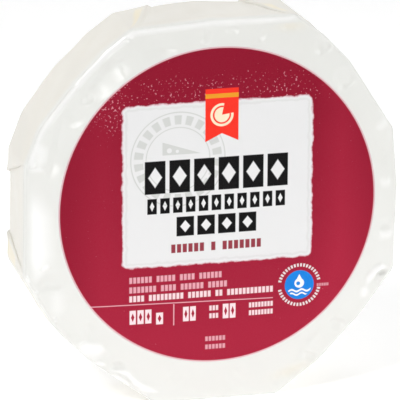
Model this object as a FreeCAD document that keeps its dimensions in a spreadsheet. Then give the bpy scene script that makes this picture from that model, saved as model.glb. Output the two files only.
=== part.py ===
import FreeCAD, Part
import math
import os
import Sketcher

# A small soft-ripened cheese: a flat wheel, shut in one square sheet of waxed paper.
# It stands on the lowest flat of its rim. The printed face looks along -Y, the folded back
# along +Y, and Z is up. The cheese is round. The paper round it makes eight main folds, with
# four straight sides (right, top, left, foot) and four diagonals between them. On the rim and
# the back the sides lie underneath and the diagonals over them, folded down one by one.

# Driving dimensions, in millimetres.
sizes = {
    "cheeseRadius": 51.5,     # the round of the cheese under the paper
    "depth": 22.5,            # printed face to back, at the rim
    "footStand": 2.2,         # how far the resting flat stands off the round
    "frontRound": 2.4,        # rounding where the paper turns from the face to the rim
    "backRound": 2.8,         # the same at the back
    "foldRound": 4.0,         # rounding across the rim at the eight main folds
    "bendRound": 16.0,        # rounding at the slighter bends between them
    "layer": 0.6,             # what a diagonal's paper adds over a side at the back of the rim
    "lip": 0.05,              # what it adds at the front, where a fold starts
    "foldLand": 1.2,          # plain rim between the front rounding and the start of a fold
    "foldReach": 44.0,        # paper between the starts of a side's two folds and their meeting
    "flapRise": 0.36,         # what each diagonal flap adds to the pile over the back's middle
    "flapBorder": 6.0,        # flat border that the back keeps inside the cheese's round
    "flapSetback": 0.4,       # how far a flap's edge stays behind the fold that it follows
    "flapRoot": 1.5,          # how deep a flap is rooted in the back
    "tipReach": 9.6,          # how far past the wheel's axis each corner of the square sheet ends
}

# Bends of the outline, from the right side counter-clockwise as seen from the printed face:
# name, place round the wheel in degrees, how far it stands off the cheese's round. The foot's
# two lie on the resting flat, which sets how far out they are.
bends = [
    ("rightLow", 337.9, 3.4),
    ("rightMid", 3.4, 0.2),
    ("rightHigh", 20.9, 2.3),
    ("upperRightLow", 46.1, 2.7),
    ("upperRightHigh", 56.2, 3.9),
    ("topRight", 66.3, 5.6),
    ("topMid", 90.8, 0.9),
    ("topLeft", 114.0, 4.2),
    ("upperLeftHigh", 123.4, 3.2),
    ("upperLeftMid", 135.9, 1.9),
    ("upperLeftLow", 152.2, 2.8),
    ("leftHigh", 163.5, 2.5),
    ("leftLow", 196.3, 2.9),
    ("lowerLeftHigh", 215.8, 1.8),
    ("lowerLeftLow", 229.9, 1.3),
    ("footLeft", 253.5, "foot"),
    ("footRight", 288.7, "foot"),
    ("lowerRightLow", 304.0, 2.5),
    ("lowerRightHigh", 321.3, 1.5),
]

# The four sides: the way each faces and the two main folds that it lies between.
sides = {
    "right": (FreeCAD.Vector(1, 0, 0), "rightLow", "rightHigh"),
    "top": (FreeCAD.Vector(0, 0, 1), "topRight", "topLeft"),
    "left": (FreeCAD.Vector(-1, 0, 0), "leftHigh", "leftLow"),
    "foot": (FreeCAD.Vector(0, 0, -1), "footLeft", "footRight"),
}
mainFolds = [name for outward, first, second in sides.values() for name in (first, second)]

# The diagonals, each between two sides, in the order in which they are folded down.
diagonals = {
    "upperLeft": ("top", "left"),
    "upperRight": ("right", "top"),
    "lowerRight": ("foot", "right"),
    "lowerLeft": ("left", "foot"),
}

backwards = FreeCAD.Vector(0, 1, 0)
sameSpot = 0.001              # points nearer than this, in millimetres, are one

doc = FreeCAD.newDocument("WrappedWheel")
sheet = doc.addObject("Spreadsheet::Sheet", "Sizes")


def fillSheet():
    rows = list(sizes.items())
    for name, angle, stand in bends:
        rows.append((name + "Angle", angle))
        if stand != "foot":
            rows.append((name + "Stand", stand))
    for number, (alias, value) in enumerate(rows, start=1):
        sheet.set("A%d" % number, alias)
        sheet.set("B%d" % number, str(value))
        sheet.setAlias("B%d" % number, alias)
    doc.recompute()


def size(alias):
    return float(getattr(sheet, alias))


def axisPoint():
    """The cheese's axis, above the resting flat."""
    return FreeCAD.Vector(0, 0, size("cheeseRadius") + size("footStand"))


def bendPoint(name):
    """Where a bend of the outline lies, across and up."""
    angle = math.radians(size(name + "Angle"))
    axis = axisPoint()
    if name in sides["foot"]:
        return FreeCAD.Vector(-axis.z / math.tan(angle), 0, 0)
    reach = size("cheeseRadius") + size(name + "Stand")
    return axis + FreeCAD.Vector(math.cos(angle), 0, math.sin(angle)) * reach


def bendFormulas(name, inset):
    """The same place as two formulas of the sheet, drawn in by an inset."""
    angle = "Sizes.%sAngle * 1deg" % name
    axisHeight = "(Sizes.cheeseRadius + Sizes.footStand)"
    if name in sides["foot"]:
        return "(%s - %s) / tan(%s)" % (inset, axisHeight, angle), inset
    reach = "(Sizes.cheeseRadius + Sizes.%sStand - %s)" % (name, inset)
    return "%s * cos(%s)" % (reach, angle), "%s + %s * sin(%s)" % (axisHeight, reach, angle)


def addOutline(body, label, start, inset):
    """The outline's flats as a sketch that lies a start behind the face, drawn in by an inset."""
    plane = next(item for item in body.Origin.OriginFeatures if item.Role == "XZ_Plane")
    sketch = body.newObject("Sketcher::SketchObject", label)
    sketch.AttachmentSupport = [(plane, "")]
    sketch.MapMode = "FlatFace"
    sketch.setExpression("AttachmentOffset.Base.z", "Sizes.depth / 2 - %s" % start)
    names = [name for name, angle, stand in bends]
    points = [FreeCAD.Vector(bendPoint(name).x, bendPoint(name).z, 0) for name in names]
    for point, following in zip(points, points[1:] + points[:1]):
        sketch.addGeometry(Part.LineSegment(point, following), False)
    for index in range(len(points)):
        following = (index + 1) % len(points)
        sketch.addConstraint(Sketcher.Constraint("Coincident", index, 2, following, 1))
    for index, (name, point) in enumerate(zip(names, points)):
        across, up = bendFormulas(name, inset)
        for kind, formula, value in (("DistanceX", across, point.x), ("DistanceY", up, point.y)):
            number = sketch.addConstraint(Sketcher.Constraint(kind, -1, 1, index, 1, value))
            sketch.renameConstraint(number, name + kind)
            sketch.setExpression("Constraints." + name + kind, formula)
    return sketch


def addPad(body, label, sketch, length, taper):
    pad = body.newObject("PartDesign::Pad", label)
    pad.Profile = sketch
    pad.Reversed = True
    pad.setExpression("Length", length)
    pad.setExpression("TaperAngle", taper)
    doc.recompute()
    return pad


def addRounding(body, label, base, edges, radius):
    rounding = body.newObject("PartDesign::Fillet", label)
    rounding.Base = (base, edges)
    rounding.setExpression("Radius", radius)
    doc.recompute()
    return rounding


def nearestBend(point):
    def apart(name):
        bend = bendPoint(name)
        return math.hypot(bend.x - point.x, bend.z - point.z)
    return min((name for name, angle, stand in bends), key=apart)


def rimEdges(shape, atMainFolds):
    """Edges that cross the rim from face to back, at the main folds or at the other bends."""
    found = []
    for number, edge in enumerate(shape.Edges, start=1):
        crossesRim = edge.BoundBox.YLength > size("depth") / 2
        if crossesRim and (nearestBend(edge.Vertexes[0].Point) in mainFolds) == atMainFolds:
            found.append("Edge%d" % number)
    return found


def loopEdges(shape, place):
    """Edges round the flat face that lies at a place along Y."""
    found = []
    for number, edge in enumerate(shape.Edges, start=1):
        box = edge.BoundBox
        if box.YLength < sameSpot and abs(box.YMin - place) < sameSpot:
            found.append("Edge%d" % number)
    return found


def makeOuterWrap():
    """The whole packed wheel, with the diagonals' paper all round it."""
    body = doc.addObject("PartDesign::Body", "OuterWrap")
    outline = addOutline(body, "OuterOutline", "0", "0")
    form = addPad(body, "OuterDepth", outline, "Sizes.depth", "0")
    face = -size("depth") / 2
    form = addRounding(body, "OuterFolds", form, rimEdges(form.Shape, True), "Sizes.foldRound")
    form = addRounding(body, "OuterBends", form, rimEdges(form.Shape, False), "Sizes.bendRound")
    form = addRounding(body, "FaceEdge", form, loopEdges(form.Shape, face), "Sizes.frontRound")
    addRounding(body, "OuterBackEdge", form, loopEdges(form.Shape, -face), "Sizes.backRound")
    return body


def makeInnerWrap():
    """The wheel as the folded-in sides leave it, which a layer makes thinner towards the back."""
    body = doc.addObject("PartDesign::Body", "InnerWrap")
    outline = addOutline(body, "InnerOutline", "Sizes.frontRound", "Sizes.lip")
    length = "Sizes.depth - Sizes.frontRound - Sizes.layer"
    taper = "-atan((Sizes.layer - Sizes.lip) / (%s))" % length
    form = addPad(body, "InnerDepth", outline, length, taper)
    back = size("depth") / 2 - size("layer")
    radius = "Sizes.backRound - Sizes.layer"
    form = addRounding(body, "InnerFolds", form, rimEdges(form.Shape, True), "Sizes.foldRound")
    form = addRounding(body, "InnerBends", form, rimEdges(form.Shape, False), "Sizes.bendRound")
    addRounding(body, "InnerBackEdge", form, loopEdges(form.Shape, back), radius)
    return body


def rimRun():
    """Paper from the start of a fold along the rim to the back."""
    return size("depth") - size("frontRound") - size("foldLand")


def foldMeeting(side):
    """Where the two folds of a side meet on the back, across and up."""
    outward, first, second = sides[side]
    middle = (bendPoint(first) + bendPoint(second)) * 0.5
    return middle - outward * (size("foldReach") - rimRun())


def foldWay(side, name):
    """The way in which a fold runs across the back towards its side's meeting point.

    The fold is straight on the flat sheet, so on the rim it leans as much as on the back.
    """
    outward = sides[side][0]
    return (foldMeeting(side) - outward * rimRun() - bendPoint(name)).normalize()


def makeSideWindow(side, innerWrap):
    """The space over a side that the diagonals beside it leave open, on the rim and the back.

    A triangle with its base along the side moves outwards as fast as backwards, so that it
    narrows along the rim and goes on narrowing across the back, up to the meeting point.
    """
    outward, first, second = sides[side]
    start = backwards * (size("depth") / 2 - rimRun())
    inmost = foldMeeting(side) - outward * rimRun()
    corners = [point + start for point in (bendPoint(first), bendPoint(second), inmost)]
    triangle = Part.Face(Part.makePolygon(corners + corners[:1]))
    wedge = doc.addObject("Part::Feature", side + "Wedge")
    wedge.Shape = triangle.extrude((outward + backwards) * (rimRun() + size("depth")))
    window = doc.addObject("Part::Cut", side + "Window")
    window.Base = wedge
    window.Tool = innerWrap
    return window


def crossing(point, way, otherPoint, otherWay):
    """Where two lines of the back cross."""
    spread = way.x * otherWay.z - way.z * otherWay.x
    gap = otherPoint - point
    return point + way * ((gap.x * otherWay.z - gap.z * otherWay.x) / spread)


def flapFootprint(diagonal, middleWay):
    """The corner of the sheet that a diagonal lays over the back, from its border to its tip."""
    neighbours = diagonals[diagonal]
    outwards = [sides[side][0] for side in neighbours]
    tip = axisPoint() - middleWay * size("tipReach")
    borderEnds = []
    sheetEnds = []
    for side, outward, otherOutward in zip(neighbours, outwards, reversed(outwards)):
        name = max(sides[side][1:], key=lambda bend: bendPoint(bend).dot(middleWay))
        way = foldWay(side, name)
        inwards = (otherOutward - way * otherOutward.dot(way)).normalize()
        edge = foldMeeting(side) + inwards * size("flapSetback")
        border = axisPoint() + outward * (size("cheeseRadius") - size("flapBorder"))
        borderEnds.append(crossing(edge, way, border, otherOutward))
        sheetEnds.append(crossing(edge, way, tip, outward))
    return [borderEnds[0], sheetEnds[0], tip, sheetEnds[1], borderEnds[1]]


def makeFlap(diagonal, order):
    """A diagonal's flap over the back, a thin wedge that rises from the border to its tip."""
    firstSide, secondSide = diagonals[diagonal]
    middleWay = (sides[firstSide][0] + sides[secondSide][0]).normalize()
    footprint = flapFootprint(diagonal, middleWay)
    places = [point.dot(middleWay) for point in footprint]
    border = min(places[0], places[-1])
    slope = size("flapRise") * order / (border - min(places))
    back = size("depth") / 2
    tops = []
    roots = []
    for point, place in zip(footprint, places):
        tops.append(point + backwards * (back + slope * (border - place)))
        roots.append(point + backwards * (back - size("flapRoot")))
    faces = [Part.Face(Part.makePolygon(ring + ring[:1])) for ring in (tops, roots)]
    for index in range(len(footprint)):
        ring = [tops[index - 1], tops[index], roots[index], roots[index - 1]]
        faces.append(Part.Face(Part.makePolygon(ring + ring[:1])))
    flap = doc.addObject("Part::Feature", diagonal + "Flap")
    flap.Shape = Part.Solid(Part.Shell(faces))
    return flap


def addBoolean(kind, label, **inputs):
    result = doc.addObject(kind, label)
    for slot, piece in inputs.items():
        setattr(result, slot, piece)
    doc.recompute()
    return result


def makeWrappedWheel():
    """The shut pack as one solid, with its foot at height 0 under the middle of its box."""
    outerWrap = makeOuterWrap()
    innerWrap = makeInnerWrap()
    windows = [makeSideWindow(side, innerWrap) for side in sides]
    flaps = [makeFlap(diagonal, order) for order, diagonal in enumerate(diagonals, start=1)]
    layered = addBoolean("Part::MultiFuse", "LayeredWrap", Shapes=[outerWrap] + flaps)
    opened = addBoolean("Part::MultiFuse", "SideWindows", Shapes=windows)
    folded = addBoolean("Part::Cut", "FoldedWrap", Base=layered, Tool=opened)
    wheel = doc.addObject("Part::Feature", "WrappedWheel")
    wheel.Label = "wrapped_wheel"
    wheel.Shape = folded.Shape
    box = folded.Shape.optimalBoundingBox()
    wheel.Placement.Base = FreeCAD.Vector(-box.Center.x, -box.Center.y, -box.ZMin)
    return wheel


def checkDocument(pieces):
    """Stop if anything in the document failed, or if a piece isn't one whole solid."""
    doc.recompute()
    for item in doc.Objects:
        if "Invalid" in item.State or "Error" in item.State:
            raise RuntimeError("%s failed: %s" % (item.Label, item.State))
    for piece in pieces:
        if piece.Shape.isNull() or not piece.Shape.isValid() or len(piece.Shape.Solids) != 1:
            raise RuntimeError("%s isn't one valid solid" % piece.Label)


def writePieces(pieces):
    os.makedirs("parts", exist_ok=True)
    for piece in pieces:
        piece.Shape.exportStep("parts/%s.step" % piece.Label)
        box = piece.Shape.optimalBoundingBox()
        print(piece.Label, "%.1f x %.1f x %.1f mm," % (box.XLength, box.YLength, box.ZLength),
              "%.1f cm3," % (piece.Shape.Volume / 1000), len(piece.Shape.Faces), "faces")


fillSheet()
allPieces = [makeWrappedWheel()]
checkDocument(allPieces)
writePieces(allPieces)
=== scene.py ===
import math

import bmesh
import bpy
import numpy as np
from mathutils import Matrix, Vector


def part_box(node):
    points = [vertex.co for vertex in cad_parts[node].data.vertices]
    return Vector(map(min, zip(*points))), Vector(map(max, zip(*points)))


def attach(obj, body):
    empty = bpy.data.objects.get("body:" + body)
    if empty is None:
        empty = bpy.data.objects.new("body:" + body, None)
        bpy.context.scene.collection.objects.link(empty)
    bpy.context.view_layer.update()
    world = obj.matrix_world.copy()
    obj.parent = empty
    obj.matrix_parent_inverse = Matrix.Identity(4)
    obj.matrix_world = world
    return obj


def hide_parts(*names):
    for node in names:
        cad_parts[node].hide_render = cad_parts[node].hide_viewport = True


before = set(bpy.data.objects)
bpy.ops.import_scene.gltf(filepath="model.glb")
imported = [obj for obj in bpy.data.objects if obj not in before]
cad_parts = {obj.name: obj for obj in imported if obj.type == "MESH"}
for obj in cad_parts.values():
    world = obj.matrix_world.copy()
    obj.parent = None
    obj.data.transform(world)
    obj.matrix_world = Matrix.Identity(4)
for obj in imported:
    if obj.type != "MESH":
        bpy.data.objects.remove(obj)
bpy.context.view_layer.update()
lowCorner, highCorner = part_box("wrapped_wheel")
mm = 0.001

# A flat wheel of soft cheese in one square sheet of waxed paper. Lengths are in millimetres
# until a mesh is made. Across is X, up is Z, and a depth runs backwards from the printed face.
wheel = {
    "cheeseRadius": 51.5,
    "footStand": 2.2,       # how far the resting flat stands off the round
    "edgeInset": 0.6,       # width of the rounding where the paper turns over the front edge
    "edgeDepth": 1.1,
    "edgeSquareness": 1.5,  # 1 is a straight bevel, 2 a quarter round
    "backRound": 2.8,
    "foldRound": 3.2,
    "bendRound": 16.0,
    "layer": 0.6,           # a diagonal's paper over a side, at the back of the rim
    "lip": 0.05,            # the same where a fold starts
    "foldStart": 2.6,       # depth at which the folds start
    "foldReach": 44.0,
    "flapStep": 0.36,       # each flap's share of the pile on the back
    "tipReach": 9.6,
    "sheetThick": 0.14,
}

# Bends of the outline, from the right side counter-clockwise seen from the front: degrees round
# the axis and how far each stands off the cheese's round. The foot's two are on the ground.
bends = {
    "rightLow": (337.9, 3.4), "rightMid": (3.4, 0.2), "rightHigh": (20.9, 2.3),
    "upperRightLow": (46.1, 2.7), "upperRightHigh": (56.2, 3.9), "topRight": (66.3, 5.6),
    "topMid": (90.8, 0.9), "topLeft": (114.0, 4.2), "upperLeftHigh": (123.4, 3.2),
    "upperLeftMid": (135.9, 1.9), "upperLeftLow": (152.2, 2.8), "leftHigh": (163.5, 2.5),
    "leftLow": (196.3, 2.9), "lowerLeftHigh": (215.8, 1.8), "lowerLeftLow": (229.9, 1.3),
    "footLeft": (253.5, None), "footRight": (288.7, None), "lowerRightLow": (304.0, 2.5),
    "lowerRightHigh": (321.3, 1.5),
}

# The four sides: the way each faces, and its two main folds.
sides = {
    "right": ((1, 0), "rightLow", "rightHigh"),
    "top": ((0, 1), "topRight", "topLeft"),
    "left": ((-1, 0), "leftHigh", "leftLow"),
    "foot": ((0, -1), "footLeft", "footRight"),
}

# The diagonals between them in the order they are folded down, the last on top.
diagonals = {
    "upperLeft": ("top", "left"),
    "upperRight": ("right", "top"),
    "lowerRight": ("foot", "right"),
    "lowerLeft": ("left", "foot"),
}

# How each fold lies on the rim: how far its edge curls out at the back, how its line bows
# (1 is straight, less runs along the front edge first), and how far its edge stands open.
foldHabits = {
    "rightLow": (0.35, 1.0, 1.0), "rightHigh": (0.3, 1.0, 1.0), "topRight": (0.3, 0.62, 0.3),
    "topLeft": (0.3, 0.7, 0.0), "leftHigh": (0.55, 1.0, 1.0), "leftLow": (0.35, 0.8, 0.35),
    "footLeft": (0.0, 1.0, 1.0), "footRight": (0.0, 1.0, 1.0),
}


def smooth(x):
    x = np.clip(x, 0.0, 1.0)
    return x * x * (3 - 2 * x)


def unit(way):
    return way / np.hypot(*way)


axisHeight = wheel["cheeseRadius"] + wheel["footStand"]


def bendPlace(name):
    angle, stand = bends[name]
    angle = math.radians(angle)
    if stand is None:
        return np.array((-axisHeight / math.tan(angle), 0.0))
    reach = wheel["cheeseRadius"] + stand
    return np.array((reach * math.cos(angle), axisHeight + reach * math.sin(angle)))


def roundedOutline():
    # the bends joined by straight flats, each corner rounded: places, outward ways, run, marks
    names = list(bends)
    corners = [bendPlace(name) for name in names]
    mainFolds = {name for outward, first, second in sides.values() for name in (first, second)}
    places, normals, middles = [], [], {}
    for index, name in enumerate(names):
        here = corners[index]
        arriving = unit(here - corners[index - 1])
        leaving = unit(corners[(index + 1) % len(corners)] - here)
        turn = math.acos(float(np.clip(arriving @ leaving, -1, 1)))
        radius = wheel["foldRound"] if name in mainFolds else wheel["bendRound"]
        cut = radius * math.tan(turn / 2)
        start = here - arriving * cut
        firstAngle = math.atan2(-arriving[0], arriving[1])
        centre = start - np.array((math.cos(firstAngle), math.sin(firstAngle))) * radius
        steps = 8
        for step in range(steps + 1):
            angle = firstAngle + turn * step / steps
            out = np.array((math.cos(angle), math.sin(angle)))
            if step == steps // 2:
                middles[name] = len(places)
            places.append(centre + out * radius)
            normals.append(out)
    places.append(places[0])
    normals.append(normals[0])
    places, normals = np.array(places), np.array(normals)
    run = np.concatenate(([0.0], np.cumsum(np.hypot(*np.diff(places, axis=0).T))))
    return places, normals, run, {name: run[spot] for name, spot in middles.items()}


outlinePlaces, outlineNormals, outlineRun, marks = roundedOutline()
around = outlineRun[-1]

# The outline is set into the frame: its width and place come from the CAD node's own box.
nodeWidth = (highCorner.x - lowCorner.x) / mm
fitScale = nodeWidth / np.ptp(outlinePlaces[:, 0])
axisX = (highCorner.x + lowCorner.x) / 2 / mm - fitScale * (
    outlinePlaces[:, 0].max() + outlinePlaces[:, 0].min()) / 2
groundZ = lowCorner.z / mm
faceY = lowCorner.y / mm
depth = (highCorner.y - lowCorner.y) / mm / fitScale - len(diagonals) * wheel["flapStep"]
axis = np.array((0.0, axisHeight))
print("outline fits the frame at scale", round(fitScale, 4), "rim depth", round(depth, 2))


def outlineAt(run):
    run = np.mod(run, around)
    place = np.stack([np.interp(run, outlineRun, outlinePlaces[:, k]) for k in (0, 1)], -1)
    out = np.stack([np.interp(run, outlineRun, outlineNormals[:, k]) for k in (0, 1)], -1)
    return place, out / np.linalg.norm(out, axis=-1, keepdims=True)


def toFrame(across, back, up):
    # from the wheel's own measures to metres in the shared frame
    points = np.stack([across * fitScale + axisX, back * fitScale + faceY,
                       up * fitScale + groundZ], -1)
    return points * mm


rimRun = depth - wheel["foldStart"]


def foldMeeting(side):
    outward, first, second = sides[side]
    middle = (bendPlace(first) + bendPlace(second)) / 2
    return middle - np.array(outward) * (wheel["foldReach"] - rimRun)


# The printed field's middle, measured from the wheel's axis.
printed = {"radius": 44.0, "across": 1.21, "up": 1.07, "proud": 0.05, "skirt": 0.09,
           "edgeStart": 1.2, "edgeFade": 3.0}
printMiddle = axis + np.array((printed["across"], printed["up"]))

# Creases of the face, each from the printed field's middle: its line, its height (below zero
# is a valley), its half width, and how many times wider it is on the right of the line's way.
creaseStrength = 1.3
creases = [
    # upper left, beside the crest
    ([(-36.8, 33.2), (-34.4, 34.6), (-31.6, 37.2), (-29.6, 39.8), (-27.4, 41.2), (-23.6, 41.9)],
     -0.52, 2.1, 2.8),
    ([(-37, 33.1), (-34.8, 30.5)], -0.42, 1.9),
    ([(-46.3, 10.6), (-44.8, 15.9), (-43.6, 21.3), (-42.8, 27)], -0.56, 2.5, 2.0),
    ([(-48.4, 21), (-48.8, 16.6), (-49.4, 13.6)], 0.30, 3.2),
    ([(-40.8, 29.8), (-38.6, 24.2)], -0.22, 4.0),
    ([(-21.7, 43.9), (-14.9, 44.6), (-10.8, 43.8)], -0.26, 3.8),
    ([(-52, 13.4), (-47.4, 13.3)], 0.24, 0.9),
    ([(-51.6, 16), (-50.6, 14.8), (-51.4, 13.9)], 0.42, 0.8),
    ([(-39.6, 33.8), (-38.4, 34.8)], -0.24, 0.9),
    ([(-39.8, 35.4), (-38.4, 36.4)], 0.45, 0.8),
    ([(-27.4, 48.6), (-25.4, 49.2), (-24, 49.8)], 0.34, 0.9),
    ([(-25.4, 48.3), (-23.4, 47.8)], 0.36, 0.8),
    ([(-26.4, 46.6), (-24, 47.6)], -0.40, 0.8),
    # left
    ([(-50.2, -18.5), (-50.2, -3.2), (-50.9, 8)], 0.50, 2.4, 2.6),
    ([(-42.4, -19.4), (-49.9, -19.1)], -0.44, 1.6, 2.4),
    ([(-49.1, -14.9), (-47.4, -13.9), (-46.1, -13.2)], 0.26, 0.9),
    ([(-53, -15.6), (-51.8, -18.1)], 0.34, 0.6),
    ([(-51, -20), (-49.4, -20.9)], 0.34, 0.6),
    # lower left
    ([(-44.4, -20), (-44.2, -28.4)], 0.16, 3.2),
    ([(-45.6, -28.9), (-44, -28.8)], 0.36, 0.6),
    ([(-36, -30), (-34.9, -35)], -0.26, 2.0),
    ([(-39.4, -37), (-36, -36.8), (-33.4, -37.4), (-30.6, -39)], 0.46, 1.7, 2.8),
    ([(-34.9, -41.6), (-33, -41.9), (-31, -42.8)], 0.42, 0.8),
    ([(-29.9, -42.9), (-25.2, -43.3)], -0.42, 1.5),
    ([(-30.5, -44.3), (-27.1, -44.5), (-24.9, -45.9), (-23.2, -48), (-21, -49.6), (-17.1, -51.1)],
     0.46, 1.1),
    ([(-27.8, -45.5), (-25.2, -47), (-23.4, -49.2)], -0.20, 0.9),
    ([(-29.2, -45.4), (-26.2, -47.4), (-23.9, -49.6)], 0.36, 0.9),
    ([(-22.7, -50), (-20, -50.6), (-16, -51.7)], 0.30, 0.8),
    ([(-12, -47), (-4, -47.6)], -0.14, 4.2),
    ([(-14, -46.5), (-10.5, -51)], -0.20, 2.5),
    # lower right
    ([(18.9, -48.6), (16.1, -52.1)], -0.30, 2.8),
    ([(19.2, -48.6), (22.5, -48.3), (26.2, -46.6)], -0.34, 1.9),
    ([(23.9, -43.8), (26.2, -44.3), (28.9, -45.3)], -0.36, 1.0, 2.2),
    ([(22.8, -45.4), (24.9, -43), (26.8, -40.6), (29, -38)], -0.52, 2.1, 2.2),
    ([(31.4, -34.8), (34, -35.2), (36.4, -36.4)], -0.40, 1.1, 2.4),
    ([(42.2, -25.8), (42.8, -23.6), (44.2, -21.8), (46.2, -20.8), (48, -21.2)], 0.62, 1.5),
    ([(44.8, -23), (46.3, -22.5), (48, -22.5)], -0.72, 1.2),
    ([(44.6, -24.1), (46.6, -24.8)], -0.34, 1.1),
    ([(42.2, -25.8), (41.4, -27.7), (40.5, -29.1)], 0.34, 1.8),
    # right
    ([(45, -11.6), (49.6, -11.4)], 0.30, 2.0),
    ([(44.6, -9), (49.6, -8.6)], -0.24, 2.2),
    ([(45, 3.2), (48.6, 3.2)], 0.22, 2.2),
    ([(45.4, 8), (48, 13)], -0.26, 2.8),
    # upper right and top
    ([(44.2, 18), (47.6, 21)], 0.20, 2.0),
    ([(38.4, 34.6), (36.4, 32), (33.4, 29.6)], -0.50, 1.2, 4.6),
    ([(31.6, 42.8), (29.4, 41.4), (26.6, 40.6)], -0.46, 1.1, 4.2),
    ([(17, 48.3), (19.6, 48.2), (22.6, 47.8)], -0.34, 1.6),
    ([(9.9, 48), (11.8, 44.5)], -0.24, 2.8),
    ([(1.6, 48.5), (5.7, 48.2)], -0.24, 1.9),
    ([(-3.4, 48.8), (-4.2, 44.7)], -0.34, 1.8),
    ([(4, -46), (9, -51)], -0.20, 3.0),
]


def creaseHeight(u, v, points, height, halfWidth, tail=1.0):
    # a crease along a line: it rises over half its width on each side, and more gently, over
    # tail times that, on the right of the line's way
    line = [np.array(point, dtype=float) for point in points]
    lengths = [np.hypot(*(end - start)) for start, end in zip(line[:-1], line[1:])]
    total = sum(lengths)
    nearest = np.full(u.shape, 1e9)
    along = np.zeros(u.shape)
    width = np.full(u.shape, halfWidth)
    gone = 0.0
    for start, end, length in zip(line[:-1], line[1:], lengths):
        way = (end - start) / length
        du, dv = u - start[0], v - start[1]
        t = np.clip(du * way[0] + dv * way[1], 0, length)
        away = np.hypot(du - t * way[0], dv - t * way[1])
        turned = (du * way[1] - dv * way[0]) / np.maximum(away, 0.01)
        closer = away < nearest
        nearest = np.where(closer, away, nearest)
        along = np.where(closer, gone + t, along)
        width = np.where(closer, halfWidth * (1 + (tail - 1) * smooth(turned * 0.5 + 0.5)), width)
        gone += length
    ends = smooth(np.minimum(along, total - along) / (0.42 * total) + 0.2)
    rise = np.clip(1 - nearest / (width * (0.5 + 0.5 * ends)), 0, 1)
    return height * (rise + smooth(rise)) / 2 * ends


def ringAt(u, v):
    # 1 outside the printed field, 0 well inside it
    return smooth((np.hypot(u, v) - printed["radius"] + printed["edgeStart"]) / printed["edgeFade"])


def foldsAt(u, v):
    return ringAt(u, v) * sum(creaseHeight(u, v, *crease) for crease in creases)


def faceRelief(u, v, folds):
    # how far the face stands out, in millimetres, at a place measured from the print's middle
    reach = np.hypot(u, v)
    angle = np.arctan2(v, u)
    sag = -0.22 * smooth((reach - 40) / 12) - 0.10 * smooth((reach - 20) / 30)
    ripple = 0.05 * np.sin(9 * angle + 1.3) + 0.035 * np.sin(17 * angle + 0.4) + \
        0.02 * np.sin(31 * angle + 2.0)
    sheen = 0.07 * np.exp(-((u + 32) / 4.5) ** 2) + 0.06 * np.exp(-((u - 34) / 4.0) ** 2)
    calm = 0.03 * np.sin(u * 0.21 + 0.6) * np.sin(v * 0.17 + 1.1)
    sheen = sheen * (1 - smooth((reach - 38) / 8))
    return sag + ringAt(u, v) * ripple + creaseStrength * folds + sheen + calm


def strips():
    # the rim's eight parts in turn: the sides, and the diagonals between them
    names = list(sides)
    made = []
    for index, side in enumerate(names):
        outward, first, second = sides[side]
        following = sides[names[(index + 1) % len(names)]][1]
        halfWidth = np.hypot(*(bendPlace(first) - bendPlace(second))) / 2
        lean = halfWidth / wheel["foldReach"]
        made.append({"side": side, "first": first, "second": second, "lean": lean})
        made.append({"side": None, "first": second, "second": following})
    return made


stripList = strips()
leans = {}
for strip in stripList:
    if strip["side"]:
        leans[strip["first"]] = strip["lean"]
        leans[strip["second"]] = -strip["lean"]

columns = {"spacing": 0.56, "tuckSpread": 0.1, "tuckCount": 4, "tightWidth": 1.5}


def foldPlace(name, run):
    # where a fold's edge lies round the rim, after a run of paper from the fold's start
    share = np.clip(run / rimRun, 0, 1) ** foldHabits[name][1]
    return marks[name] + leans[name] * rimRun * share


def openedAt(back):
    return smooth((back - wheel["foldStart"] + 0.8) / 2.4)


def layerDrop(run, opened):
    # how far a side's paper lies under the diagonals' paper
    return (wheel["lip"] + (wheel["layer"] - wheel["lip"]) * run / rimRun) * opened


def tuckWidth(name, opened):
    # how far the paper below starts from a fold's edge
    closed = columns["tuckSpread"] * (columns["tuckCount"] + 1)
    return closed * (1 - opened) + columns["tightWidth"] * (1 - foldHabits[name][2]) * opened


def stripColumns(strip, back):
    # one row of one strip: places round the outline and levels under the diagonals' paper
    run = max(0.0, back - wheel["foldStart"])
    opened = float(openedAt(back))
    start, end = foldPlace(strip["first"], run), foldPlace(strip["second"], run)
    if end < start:
        end += around
    drop = layerDrop(run, opened)
    if strip["side"]:
        places = np.linspace(start + tuckWidth(strip["first"], opened),
                             end - tuckWidth(strip["second"], opened), strip["count"])
        return places, np.full(strip["count"], -drop), np.zeros(strip["count"])
    places = np.linspace(start, end, strip["count"])
    share = min(1.0, run / rimRun)
    curls = np.zeros(strip["count"])
    for name, edge in ((strip["first"], start), (strip["second"], end)):
        curls += foldHabits[name][0] * share * opened * np.exp(-np.abs(places - edge) / 1.6)
    return places, curls, np.ones(strip["count"])


def tuckColumns(name, back, direction, curl):
    # the folded edge itself: round the edge, under it, and out again along the side below
    run = max(0.0, back - wheel["foldStart"])
    opened = float(openedAt(back))
    drop = layerDrop(run, opened)
    edge = foldPlace(name, run)
    ease = min(1.0, run / 4)
    standing = foldHabits[name][2]
    shifts = np.array((0.16, 0.04, -1.1, -0.15)) * ease * standing
    shifts = shifts + tuckWidth(name, 1.0) * np.array((0.25, 0.5, 0.7, 0.9))
    levels = np.array((0.42 * (curl - drop), 0.75 * (0.3 * curl - drop), -drop - 0.06, -drop - 0.02))
    closed = columns["tuckSpread"] * np.arange(1, columns["tuckCount"] + 1)
    places = edge + direction * (closed * (1 - opened) + shifts * opened)
    return places, levels * opened


for strip in stripList:
    start, end = marks[strip["first"]], marks[strip["second"]]
    if end < start:
        end += around
    strip["count"] = int((end - start) / columns["spacing"]) + 2


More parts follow.
